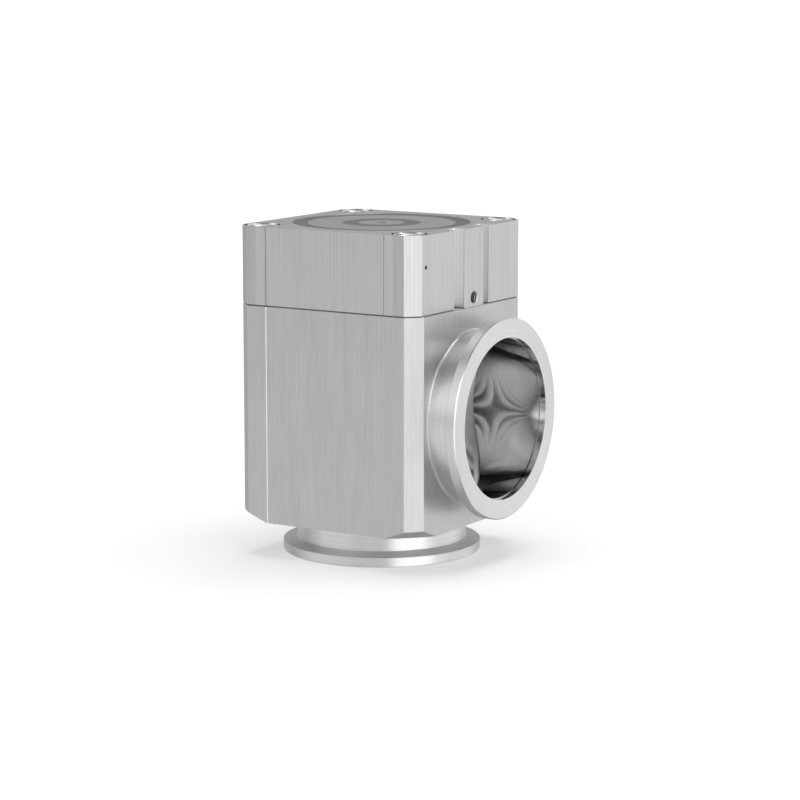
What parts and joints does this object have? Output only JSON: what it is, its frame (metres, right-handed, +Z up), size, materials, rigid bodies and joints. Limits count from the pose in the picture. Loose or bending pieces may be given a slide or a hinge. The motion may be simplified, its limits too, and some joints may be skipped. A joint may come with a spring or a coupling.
{
  "type": "vacuum angle valve",
  "caption": "Square aluminium vacuum angle valve with clamp flanges below and on one side, an air cylinder on top, and a spring-closed poppet sealed by bellows inside.",
  "frame": {"origin": "centre of the bottom flange face, on the bottom port's axis", "axes": "+Z up along the bottom port's axis and the poppet's travel, +X out of the side port, +Y to the right for someone who looks into the side port"},
  "size_m": [0.109, 0.092, 0.1444],
  "materials": {
    "block_aluminium": "fine vertical brushing, clear anodised",
    "bonnet_aluminium": "satin, clear anodised",
    "turned_aluminium": "turned",
    "screw_steel": "bright stainless",
    "stainless": "satin stainless",
    "spring_steel": "dark spring steel",
    "seal_rubber": "matt black fluoroelastomer",
    "bush_bronze": "bearing bronze",
    "sintered_bronze": "sintered",
    "guide_plastic": "filled bearing plastic",
    "label_plate": "satin plate with two darker rings"
  },
  "bodies": {
    "housing": {"body": "block_aluminium", "bonnet": "bonnet_aluminium", "cap_screw_1": "screw_steel", "cap_screw_2": "screw_steel", "cap_screw_3": "screw_steel", "cap_screw_4": "screw_steel", "bonnet_seal": "seal_rubber", "rod_bush": "bush_bronze", "rod_seal": "seal_rubber", "bellows_flange": "stainless", "bellows_seal": "seal_rubber", "bellows_screw_1": "screw_steel", "bellows_screw_2": "screw_steel", "bellows_screw_3": "screw_steel", "bellows_screw_4": "screw_steel", "bellows_screw_5": "screw_steel", "bellows_screw_6": "screw_steel", "spring_seat": "screw_steel", "end_cover": "turned_aluminium", "retaining_ring": "spring_steel", "top_label": "label_plate", "vent_filter": "sintered_bronze", "return_spring": "spring_steel", "bellows": "stainless"},
    "poppet_group": {"poppet": "turned_aluminium", "seat_seal": "seal_rubber", "poppet_screw": "screw_steel", "rod": "stainless", "piston": "turned_aluminium", "piston_seal": "seal_rubber", "guide_ring": "guide_plastic", "rod_nut": "screw_steel", "bellows_foot": "stainless"}
  },
  "joints": [
    {"name": "poppet_lift", "type": "slide", "parent": "housing", "child": "poppet_group", "axis": [0, 0, 1], "range_m": [0, 0.0175], "stiffness_N_per_m": 5000, "springref_m": -0.02, "deforming": ["return_spring", "bellows"]}
  ]
}
